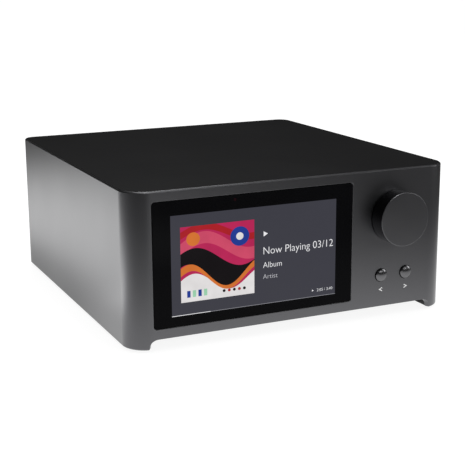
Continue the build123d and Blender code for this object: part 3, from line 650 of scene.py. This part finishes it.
litArt = [litFinish("displayPixels" + name.title(), code, dimming=0.32) for name, code in art["colours"].items()]
showOnScreen("picture", plate(span(screen["x"], screen["z"]), 0), litGround)
showOnScreen("art", makeArt(), litArt)
for name, line in screen["lines"].items():
    showOnScreen(name, makeWords(line), line.get("finish", litWhite))
showOnScreen("progress", plate(span(*screen["progress"]), 1), litWhite)
showOnScreen("progress_track", plate(span(*screen["track"]), 1), litDim)
showOnScreen("play_marks", joined([plate(outline, 1) for outline in screen["playMarks"]]), litWhite)
rod = rodProfile(receiver["radius"], *receiver["y"])
makePiece("receiver_window", turned(rod, receiver["at"], receiver["sides"]), tintedWindow, flat=True)
print("display made")


# Volume knob

knob = {
    "radius": 17, "face": -133, "rounding": 0.35, "steps": 6, "sides": 144,
    "wall": [(17, -121.85), (16.75, -121.6), (12.5, -121.6), (12.5, -125.2), (3, -125.2), (3, -131), (0, -131)],
}


def makeKnob():
    # The face and its rounded rim, and the wall and the hollow behind, which are turned finer and take the
    # darker colour of painted shade.
    radius, face, rounding = knob["radius"], knob["face"], knob["rounding"]
    rim = [(radius - rounding * left, face + rounding * gone) for gone, left in quarterRound(knob["steps"])]
    mesh = turned([(0, face)] + rim + knob["wall"], knobAt, knob["sides"])
    for side in mesh.polygons:
        side.material_index = int(side.center.y > face + rounding)
    return mesh


# The second material is the turned aluminium darkened as painted shade, for the wall and hollow.
makePiece("volume_knob_turned", makeKnob(), [turnedAluminium, turnedAluminiumPaintedShade],
          "volume_knob_body", ["volume_knob"])


# Buttons with their flanges and stems

button = {
    "radius": 4.1, "crown": -122.8, "edge": -121.7, "steps": 12, "rim": (0.12, 0.03), "seat": -118,
    "flange": (10.8, 0.8, 0.5), "stem": (2.6, 0.2), "end": -113, "sides": 64,
}


def makeButton(centre):
    # A domed cap over a square flange and a square stem.
    radius, crown, edge, seat = button["radius"], button["crown"], button["edge"], button["seat"]
    rise = edge - crown
    sphere = (radius ** 2 + rise ** 2) / (2 * rise)
    profile = []
    for step in range(button["steps"] + 1):
        reach = radius * step / button["steps"]
        profile.append((reach, crown + sphere - (sphere ** 2 - reach ** 2) ** 0.5))
    inwards, outwards = button["rim"]
    profile[-1] = (radius - inwards, profile[-1][1] - outwards)
    profile += [(radius, edge + inwards), (radius, seat), (0, seat)]
    (width, thick, corner), (stemWidth, stemCorner) = button["flange"], button["stem"]
    flange = aroundMiddle(centre, (width, width), corner)
    stem = aroundMiddle(centre, (stemWidth, stemWidth), stemCorner)
    return joined([turned(profile, centre, button["sides"]), prism(flange, (seat, seat + thick)),
                   prism(stem, (seat + thick, button["end"]))])


for name, centre in buttonCentres.items():
    makePiece(f"button_{name}_cap", makeButton(centre), polishedAluminium,
              f"button_{name}_body", [f"button_{name}"])


# Printed arrow marks under the buttons; side is -1 for the one that points left

mark = {"width": 2.5, "height": 1.35, "stroke": 0.62, "z": 18.8, "thickness": 0.03,
        "places": {"previous": (59.1, -1), "next": (78.1, 1)}}


def makeArrow(x, side):
    # Two strokes of one width that meet at a point.
    width, height, stroke = mark["width"], mark["height"], mark["stroke"]
    slope = hypot(width, height)
    upper = [(width, 0), (0, height), (-stroke * height / slope, height - stroke * width / slope)]
    inner = (width - stroke * slope / height, 0)
    points = upper + [inner] + [(u, -v) for u, v in upper[:0:-1]]
    outline = [(x + side * (u - width / 2), mark["z"] + v) for u, v in points]
    return prism(outline, (case["front"], case["front"] - mark["thickness"]))


for name, (x, side) in mark["places"].items():
    makePiece("arrow_" + name, makeArrow(x, side), printedInk, flat=True)
print("knob and buttons made")


# Rubber feet with a screw in each

foot = {
    "places": [(-84, -82), (84, -82), (-84, 80), (84, 80)], "sides": 64, "screw": (2.6, 2.6, -1.6),
    "profile": [(3.6, 0), (8.3, 0), (9.1, 0.3), (9.4, 1.2), (9.5, 8), (0, 8), (0, 2.6), (3.4, 2.6)],
}
# A pan head with a cross recess, in parts of its radius and of its rise.
screwHead = {"profile": [(0, 0), (1, 0), (1, 0.5), (0.92, 0.78), (0.7, 1), (0, 1)], "sides": 40,
             "slot": (1.15, 0.3), "slotDepth": (0.35, 1.5)}


def makeScrewHead(place, seat, radius, rise, facing):
    # The rise is signed and points out of the surface.
    profile = [(radius * r, seat + rise * h) for r, h in screwHead["profile"]]
    blade = tuple(radius * part for part in screwHead["slot"])
    slots = [aroundMiddle(place, size) for size in (blade, blade[::-1])]
    depths = [seat + rise * part for part in screwHead["slotDepth"]]
    head = turned(profile, place, screwHead["sides"], facing)
    return carved(head, [prism(slot, depths, facing) for slot in slots])


feet = [turned(foot["profile"], place, foot["sides"], "plan") for place in foot["places"]]
heads = [makeScrewHead(place, *foot["screw"], "plan") for place in foot["places"]]
makePiece("feet_moulded", joined(feet), mouldedRubber, standsFor=["rubber_feet"])
makePiece("foot_screws", joined(heads), nickelSteel, edge=0.08)
print("feet made")


# Phono jacks: moulded blocks, coloured cores, and turned sleeves around them

phono = {
    "x": (74, 56), "z": (75.5, 61.5), "block": (13, 28.8), "blockY": (92, 108.4), "blockLow": 53.6,
    "corner": 0.8, "eased": 0.35, "bore": (1.7, 101, 109.4),
    "sides": {"bore": 32, "core": 48, "liner": 32, "sleeve": 64},
    "core": [(1.7, 108.4), (3.38, 108.4), (3.38, 114.6), (2.98, 115), (2.1, 115), (1.7, 114.6)],
    "liner": [(1.35, 102), (1.65, 102), (1.65, 114.2), (1.35, 114.2)],
    "sleeve": [(3.42, 108.4), (4.9, 108.4), (4.9, 108.9), (4.7, 109.1), (4.15, 109.1), (4.15, 115.5),
               (4.0, 115.9), (3.8, 116), (3.57, 116), (3.42, 115.8)],
}


def makePhonoBlock(x):
    middle, eased = (x, phono["blockLow"] + phono["block"][1] / 2), phono["eased"]
    body = easedBlock(middle, phono["block"], phono["corner"], eased, *phono["blockY"], eased)
    rod, sides = rodProfile(*phono["bore"]), phono["sides"]["bore"]
    return carved(body, [turned(rod, (x, z), sides) for z in phono["z"]])


def phonoParts(kind):
    return [turned(phono[kind], (x, z), phono["sides"][kind]) for z in phono["z"] for x in phono["x"]]


makePiece("phono_blocks", joined([makePhonoBlock(x) for x in phono["x"]]), mouldedAbs,
          standsFor=["phono_housings"])
cores = [finished(core, number // 2) for number, core in enumerate(phonoParts("core"))]
makePiece("phono_cores", joined(cores), [mouldedWhite, mouldedRed])
makePiece("phono_liners", joined(phonoParts("liner")), goldBrass)
makePiece("phono_sleeves_turned", joined(phonoParts("sleeve")), goldBrass, standsFor=["phono_sleeves"])


# Speaker terminals: studs with a real thread, knurled rings and fluted caps. Points of the ring's and
# the cap's profiles have a radius, the depth of the flutes there, and a level.

terminals = {
    "x": (77, 58, 39, 20), "z": 31, "threadStart": 109.8,
    "stud": 3.0, "studTip": 131.5, "pitch": 1.0, "threadDepth": 0.3, "sides": 32, "rowsPerPitch": 8,
    "bore": (2.0, 112, 0.2), "root": (5, 0.2, 103.3), "flutePoints": 8,
    "ringKnurls": 48,
    "ring": [(6.45, 0, 110), (6.8, 0.15, 110.3), (6.8, 0.15, 111.7), (6.45, 0, 112), (3.06, 0, 112),
             (3.06, 0, 110)],
    "capFlutes": 20,
    "cap": [(4.3, 0, 112), (6.9, 0, 112), (7.35, 0, 112.25), (7.4, 0, 113.4), (7.8, 0.5, 114.2),
            (7.8, 0.5, 128.8), (7.3, 0, 129.6), (7.3, 0, 131.2), (7.0, 0, 132.1), (6.3, 0, 132.8),
            (5.8, 0, 133), (4.5, 0, 133), (4.3, 0, 132.8)],
    "nut": [(3.06, 112), (4.28, 112), (4.28, 132.4), (3.36, 132.4), (3.06, 132.1)], "nutSides": 48,
}


def flutedOutline(centre, radius, count, depth):
    # A circle with a count of even flutes of a depth.
    points, total = [], count * terminals["flutePoints"]
    for i in range(total):
        turn = 2 * pi * i / total
        reach = radius - depth * (1 - cos(count * turn)) / 2
        points.append((centre[0] + reach * cos(turn), centre[1] + reach * sin(turn)))
    return points


def fluted(profile, centre, count):
    return hollow([(flutedOutline(centre, radius, count, depth), level) for radius, depth, level in profile])


def makeStud(centre):
    # The thread is a wave that climbs one pitch for each turn.
    pitch, depth, sides, rows = (terminals[key] for key in ("pitch", "threadDepth", "sides", "rowsPerPitch"))
    start, tip = terminals["threadStart"], terminals["studTip"]
    loops = []
    for row in range(int((tip - pitch / 2 - start) / pitch * rows) + 1):
        level = start + row * pitch / rows
        outline = []
        for side in range(sides):
            phase = (level / pitch - side / sides) % 1
            reach = terminals["stud"] - depth * abs(2 * phase - 1)
            turn = 2 * pi * side / sides
            outline.append((centre[0] + reach * cos(turn), centre[1] + reach * sin(turn)))
        loops.append((outline, level))
    bore, floor, mouth = terminals["bore"]
    ends = [(terminals["stud"] - depth, tip), (bore + mouth, tip), (bore, tip - mouth), (bore, floor)]
    loops += [(circle(centre, reach, sides), level) for reach, level in ends]
    width, corner, rear = terminals["root"]
    root = aroundMiddle(centre, (width, width), corner)
    return joined([skinned(loops, "front"), prism(root, (rear, start))])


def makeCap(centre):
    # A moulded grip over a brass nut, whose end shows around the stud.
    grip = fluted(terminals["cap"], centre, terminals["capFlutes"])
    return joined([grip, finished(turned(terminals["nut"], centre, terminals["nutSides"]), 1)])


studs = [makeStud((x, terminals["z"])) for x in terminals["x"]]
makePiece("terminal_studs_threaded", joined(studs), goldBrass, standsFor=["terminal_studs"])
for number, x in enumerate(terminals["x"], 1):
    centre = (x, terminals["z"])
    makePiece(f"clamp_ring_{number}_knurled", fluted(terminals["ring"], centre, terminals["ringKnurls"]),
              goldBrass, f"clamp_ring_{number}_body", [f"clamp_ring_{number}"])
    grip, slot = (mouldedRed, "cap_red") if number % 2 else (mouldedGloss, "cap_black")
    makePiece(f"terminal_cap_{number}_fluted", makeCap(centre), [grip, goldBrass],
              f"terminal_cap_{number}_body", [f"terminal_cap_{number}"])
print("speaker terminals made")


# Digital sockets: folded metal shells, with tongues and gold contacts

sockets = {
    "video": {
        "node": "hdmi_socket", "at": (-5, 56.7), "size": (15.4, 6.2), "room": (14.0, 4.6), "slope": 1.6,
        "y": (95, 108.2), "tongue": (10.4, 1.2), "tongueDrop": 0.0,
        "contacts": 10, "pitch": 1.0, "contactWidth": 0.45, "sides": (1, -1)},
    "storage": {
        "node": "usb_socket", "at": (-25, 57.1), "size": (14.4, 7.0), "room": (12.5, 5.2), "slope": 0.0,
        "y": (92, 108.2), "tongue": (11, 1.7), "tongueDrop": -1.2,
        "contacts": 4, "pitch": 2.4, "contactWidth": 1.1, "sides": (-1,)},
}
# What both have: corners and eased rims of the shell and of the tongue, the floor, and how far back the
# tongue and its contacts end.
socketParts = {"shell": (0.7, 0.2), "tongue": (0.15, 0.12, 0.15), "floor": 1.6, "over": 1, "root": 0.2,
               "setback": 1.0, "contact": 0.06, "contactEnd": 0.6}
network = {"x": -45, "low": 55.2, "count": 8, "pitch": 1.02, "width": 0.5,
           "run": [(107.4, 0.5), (106.2, 0.3), (97.5, 4.4), (97.3, 4.1)]}


def makeShell(look):
    (x, z), (width, height), slope = look["at"], look["room"], look["slope"]
    near, far = look["y"]
    corner, eased = socketParts["shell"]
    shell = easedBlock(look["at"], look["size"], corner, eased, near, far, eased)
    half, tall = width / 2, height / 2
    lower = [(half, slope - tall), (half - slope, -tall)] if slope else [(half, -tall)]
    right = [(half, tall)] + lower
    points = right + [(-u, v) for u, v in reversed(right)]
    room = [(x + u, z + v) for u, v in points[::-1]]
    return carved(shell, [prism(room, (near + socketParts["floor"], far + socketParts["over"]))])


def makeTongue(look):
    # The tongue, and the contacts along the sides of it that have them.
    x, z = look["at"][0], look["at"][1] - look["tongueDrop"]
    width, thick = look["tongue"]
    corner, eased, bevel = socketParts["tongue"]
    near = look["y"][0] + socketParts["floor"] - socketParts["root"]
    far = look["y"][1] - socketParts["setback"]
    meshes = [easedBlock((x, z), (width, thick), corner, eased, near, far, bevel)]
    for side in look["sides"]:
        level = z + side * thick / 2
        levels = sorted((level, level + side * socketParts["contact"]))
        for i in range(look["contacts"]):
            middle, half = x + (i - (look["contacts"] - 1) / 2) * look["pitch"], look["contactWidth"] / 2
            strip = box((middle - half, middle + half), (near, far - socketParts["contactEnd"]), levels)
            meshes.append(finished(strip, 1))
    return joined(meshes)


def makeNetworkContacts():
    meshes = []
    for i in range(network["count"]):
        middle = network["x"] + (i - (network["count"] - 1) / 2) * network["pitch"]
        outline = [(y, network["low"] + rise) for y, rise in network["run"]]
        meshes.append(prism(outline, [middle + side * network["width"] / 2 for side in (-1, 1)], "side"))
    return joined(meshes)


for name, look in sockets.items():
    makePiece(f"{name}_socket_shell", makeShell(look), nickelSteel, standsFor=[look["node"]])
    makePiece(f"{name}_socket_tongue", makeTongue(look), [mouldedAbs, goldBrass])
makePiece("network_socket_contacts", makeNetworkContacts(), goldBrass)

miniJack = {
    "x": (-58.5, -67), "z": 58.6, "sides": 40,
    "rim": [(1.82, 108.4), (2.9, 108.4), (2.9, 108.7), (2.8, 108.8), (2.02, 108.8), (1.82, 108.6)],
}
rims = [turned(miniJack["rim"], (x, miniJack["z"]), miniJack["sides"]) for x in miniJack["x"]]
makePiece("mini_jack_rims", joined(rims), nickelSteel)
print("sockets made")


# On and off marks on the power rocker, and the screws of the rear panel

rocker = {"x": -38, "z": 31, "pivot": 100, "valley": 7.0, "tilt": 10, "bar": (0.5, 2.4), "barCorner": 0.1,
          "ring": (1.1, 1.5), "sides": 40, "along": 4.4, "height": 0.04, "lift": 0.01}


def makeRockerMarks():
    # Each mark is drawn in the plane y = 0 and laid on its face, which leans from the pivot's own tilt.
    bar = aroundMiddle((0, 0), rocker["bar"], rocker["barCorner"])
    height, tilt = rocker["height"], rocker["tilt"]
    ring = span(rocker["ring"], (0, height))
    shapes = [(prism(bar, (0, height)), 1), (turned(ring, (0, 0), rocker["sides"]), -1)]
    valley, lean = rocker["valley"], radians(tilt)
    for mesh, side in shapes:
        mesh.transform(Matrix.Translation((0, 0, side * rocker["along"])))
        mesh.transform(Matrix.Rotation(radians(tilt - side * tilt), 4, "X"))
        mesh.transform(Matrix.Translation((rocker["x"], rocker["pivot"], rocker["z"])))
        mesh.transform(Matrix.Translation((0, valley * cos(lean) + rocker["lift"], valley * sin(lean))))
    return joined([mesh for mesh, side in shapes])


makePiece("rocker_marks", makeRockerMarks(), printedInk, "power_rocker_body", flat=True)

# Groups of screws by where their heads sit, with their radius and places.
rearScrews = {
    "rise": 1.2,
    "groups": [
        (107, 2.3, [(89, 85), (0, 85), (-89, 85), (89, 15.5), (-1, 15.5), (-89, 15.5)]),
        (108.4, 1.6, [(74, 68.5), (56, 68.5)]),
        (110, 1.6, [(67.5, 40), (29.5, 40), (67.5, 22), (29.5, 22)]),
    ],
}
heads = [makeScrewHead(place, seat, radius, rearScrews["rise"], "front")
         for seat, radius, places in rearScrews["groups"] for place in places]
makePiece("rear_screws", joined(heads), blackSteel, edge=0.06)
print("rear details made")


# CAD nodes that are shown as they are, by finish, each with the rounding of its edges

carried = [
    (powderSteel, {"base_pan": 0.2, "rear_panel": 0.15}),
    (zincSteel, {"backlight_tray": 0.2, "display_bracket": 0.15, "streaming_module": 0.1}),
    (nickelSteel, {"screws": 0.2, "encoder_shaft": 0.2, "encoder_nut": 0.2, "mains_inlet_pins": 0.3}),
    (goldBrass, {"standoffs": 0.2, "terminal_links": 0.1}),
    (mouldedAbs, {"encoder_body": 0.15, "button_guide": 0.2, "button_switches": 0.15, "terminal_plate": 0.3,
                  "optical_input": 0.25, "optical_shutter": 0.1, "base_rails": 0.3, "network_socket": 0.2,
                  "mini_jacks": 0.2, "mains_inlet": 0.3, "power_switch_frame": 0.3}),
    (mouldedGloss, {"display_panel": 0.1, "infrared_receiver": 0.1, "power_rocker": 0.25, "mains_leads": 0.3}),
    (mouldedAcetal, {"encoder_plunger": 0.2}),
    (tintedWindow, {"standby_light": 0.1}),
    (petFilm, {"display_ribbon": 0, "insulation_sheet": 0}),
    (maskedBoard, {"front_boards": 0.1, "power_supply_board": 0.1, "amplifier_board": 0.1, "main_board": 0.1,
                   "radio_antennas": 0.1}),
    (pvcSleeve, {"capacitors": 0.4}),
    (pressedFerrite, {"coils": 0.4, "transformer": 0.3}),
    (extrudedAluminium, {"heat_sinks": 0.2}),
]
for finish, edges in carried:
    for name, edge in edges.items():
        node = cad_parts[name]
        node.data.materials.clear()
        node.data.materials.append(finish)
        for face in node.data.polygons:
            face.use_smooth = True
        softenEdges(node, edge, weld=True)
print("finishes given to", sum(len(edges) for finish, edges in carried), "carried nodes")


# Studio: floor, light and camera, in metres

studio = {
    "floorRings": (0.0, 0.3, 0.8, 2.0, 5.0, 14.0), "floorSides": 96, "floor": "#f2f2f2", "shadowDepth": 0.2,
    "floorGlow": 0.9, "sky": 0.55, "skySeenByGloss": 0.04,
}
# What mirrored rays see on the table, patch after patch: a patch's middle and its reach each way, and
# the distances in reaches between which its glow goes from the first value to the second. The first
# five are lit, and the brightest of them counts. The last two darken that: the shade beside the case,
# and the dark under it, which is square.
tableGlow = [
    {"middle": (-0.03, 0.0), "reach": (1.0, 1.0), "fade": (0.13, 0.46), "glow": (0.95, 0.06)},
    {"middle": (-0.24, 0.17), "reach": (0.13, 0.38), "fade": (0.5, 1.3), "glow": (1.5, 0.0)},
    {"middle": (-0.22, -0.02), "reach": (0.11, 0.08), "fade": (0.4, 1.1), "glow": (2.3, 0.0)},
    {"middle": (0.25, 0.18), "reach": (0.14, 0.18), "fade": (0.3, 1.1), "glow": (1.3, 0.0)},
    {"middle": (-0.01, -0.37), "reach": (0.09, 0.13), "fade": (0.0, 1.2), "glow": (1.3, 0.0)},
    {"middle": (-0.109, 0.08), "reach": (0.05, 0.20), "fade": (0.3, 1.0), "glow": (0.6, 1.0),
     "join": "MULTIPLY"},
    {"middle": (0.0, 0.0035), "reach": (0.109, 0.1095), "fade": (0.92, 1.04), "glow": (0.02, 1.0),
     "join": "MULTIPLY", "square": True},
]
lamps = {
    "frontEdgeBox": {"at": (0.15, -0.42, 1.20), "aim": (0.0, -0.12, 0.09), "size": (0.6, 0.3), "power": 0.6},
    "buttonBox": {"at": (0.42, -1.14, 0.38), "aim": (0.07, -0.12, 0.03), "size": (0.62, 0.12), "power": 0.65},
    "topBox": {"at": (0.10, 0.10, 1.20), "aim": (0.0, 0.0, 0.05), "size": (0.5, 0.8), "power": 4.6},
    "rightBox": {"at": (1.10, -0.60, 0.55), "aim": (0.109, -0.1, 0.05), "size": (0.5, 0.8), "power": 4.0},
    "rearBox": {"at": (0.10, 0.80, 2.00), "aim": (0.0, 0.11, 0.05), "size": (0.6, 0.6), "power": 6.0},
    "behindBox": {"at": (0.10, 0.42, 0.85), "aim": (0.068, -0.12, 0.08), "size": (0.3, 0.2), "power": 1.3},
}
view = {"place": (-0.309066, -0.701174, 0.223036), "azimuth": -24.57, "elevation": 13.74, "roll": -0.36,
        "lens": 86.45, "sensor": 36, "clip": (0.01, 100)}


def byRay(tree, kind, glossy, straight, other):
    # One look for mirrored rays, one for those of the camera and through glass, one for the rest.
    rays = addNode(tree, "LightPath").outputs
    first = addNode(tree, "MixShader", {}, {
        0: rays["Is Glossy Ray"], 1: other.outputs[0], 2: glossy.outputs[0]})
    seen = addNode(tree, "Math", {"operation": "MAXIMUM"}, {
        0: rays["Is Camera Ray"], 1: rays["Is Transmission Ray"]})
    whole = addNode(tree, "MixShader", {}, {0: seen.outputs[0], 1: first.outputs[0], 2: straight.outputs[0]})
    addNode(tree, "Output" + kind, {}, {"Surface": whole.outputs[0]})


def mirroredGlow(tree):
    where = addNode(tree, "NewGeometry").outputs["Position"]
    glow = 0.0
    for patch in tableGlow:
        offset = addNode(tree, "VectorMath", {"operation": "SUBTRACT"}, {
            0: where, 1: (*patch["middle"], 0.0)})
        scaled = addNode(tree, "VectorMath", {"operation": "DIVIDE"}, {
            0: offset.outputs[0], 1: (*patch["reach"], 1.0)})
        if "square" in patch:
            sides = addNode(tree, "VectorMath", {"operation": "ABSOLUTE"}, {0: scaled.outputs[0]})
            parts = addNode(tree, "SeparateXYZ", {}, {0: sides.outputs[0]}).outputs
            distance = addNode(tree, "Math", {"operation": "MAXIMUM"}, {0: parts[0], 1: parts[1]}).outputs[0]
        else:
            length = addNode(tree, "VectorMath", {"operation": "LENGTH"}, {0: scaled.outputs[0]})
            distance = length.outputs["Value"]
        fade = addNode(tree, "MapRange", {"interpolation_type": "SMOOTHSTEP"}, {
            "Value": distance, "From Min": patch["fade"][0], "From Max": patch["fade"][1],
            "To Min": patch["glow"][0], "To Max": patch["glow"][1]})
        join = {"operation": patch.get("join", "MAXIMUM")}
        glow = addNode(tree, "Math", join, {0: glow, 1: fade.outputs[0]}).outputs[0]
    return glow


def makeFloor():
    # A pale floor that keeps the object's shadow. The camera also sees a glow that makes it white, and
    # for mirrored rays that glow fades away from the object, as a lit table does.
    bm = bmesh.new()
    loops = [(circle((0, 0), reach, studio["floorSides"]), 0) for reach in studio["floorRings"]]
    rings = ringsOf(bm, loops, "plan")
    bridge(bm, zip(rings[1:], rings))
    item = linked("floor", toMesh(bm))
    material = bpy.data.materials.new("paperPaintedPale")
    tree = emptied(material)
    paper = addNode(tree, "BsdfDiffuse", {}, {"Color": linear(studio["floor"])})
    dimPaper = addNode(tree, "BsdfDiffuse", {}, {"Color": (studio["shadowDepth"],) * 3 + (1.0,)})
    seenGlow = addNode(tree, "Emission", {}, {"Strength": studio["floorGlow"]})
    seen = addNode(tree, "AddShader", {}, {0: dimPaper.outputs[0], 1: seenGlow.outputs[0]})
    mirrored = addNode(tree, "Emission", {}, {"Strength": mirroredGlow(tree)})
    byRay(tree, "Material", mirrored, seen, paper)
    item.data.materials.append(material)


def makeWorld():
    world = bpy.data.worlds.new("studio")
    scene.world = world
    tree = emptied(world)
    strengths = (studio["skySeenByGloss"], 1.0, studio["sky"])
    skies = [addNode(tree, "Background", {}, {"Color": (1.0,) * 4, "Strength": strength})
             for strength in strengths]
    byRay(tree, "World", *skies)


def makeLamps():
    for name, lamp in lamps.items():
        light = bpy.data.lights.new(name, "AREA")
        light.shape = "RECTANGLE"
        light.size, light.size_y = lamp["size"]
        light.energy = lamp["power"]
        item = linked(name, light)
        item.location = lamp["at"]
        toward = Vector(lamp["aim"]) - Vector(lamp["at"])
        item.rotation_euler = toward.to_track_quat("-Z", "Y").to_euler()


def makeCamera():
    azimuth, elevation, roll = (radians(view[key]) for key in ("azimuth", "elevation", "roll"))
    back = Vector((sin(azimuth) * cos(elevation), -cos(azimuth) * cos(elevation), sin(elevation)))
    level = Vector((0, 0, 1)).cross(back).normalized()
    upward = back.cross(level)
    right = level * cos(roll) + upward * sin(roll)
    up = upward * cos(roll) - level * sin(roll)
    data = bpy.data.cameras.new("camera")
    data.lens = view["lens"]
    data.sensor_width = view["sensor"]
    data.clip_start, data.clip_end = view["clip"]
    item = linked("camera", data)
    item.matrix_world = Matrix.Translation(view["place"]) @ Matrix((right, up, back)).transposed().to_4x4()
    scene.camera = item


makeFloor()
makeWorld()
makeLamps()
makeCamera()
scene.view_settings.view_transform = "Standard"
print("studio made")
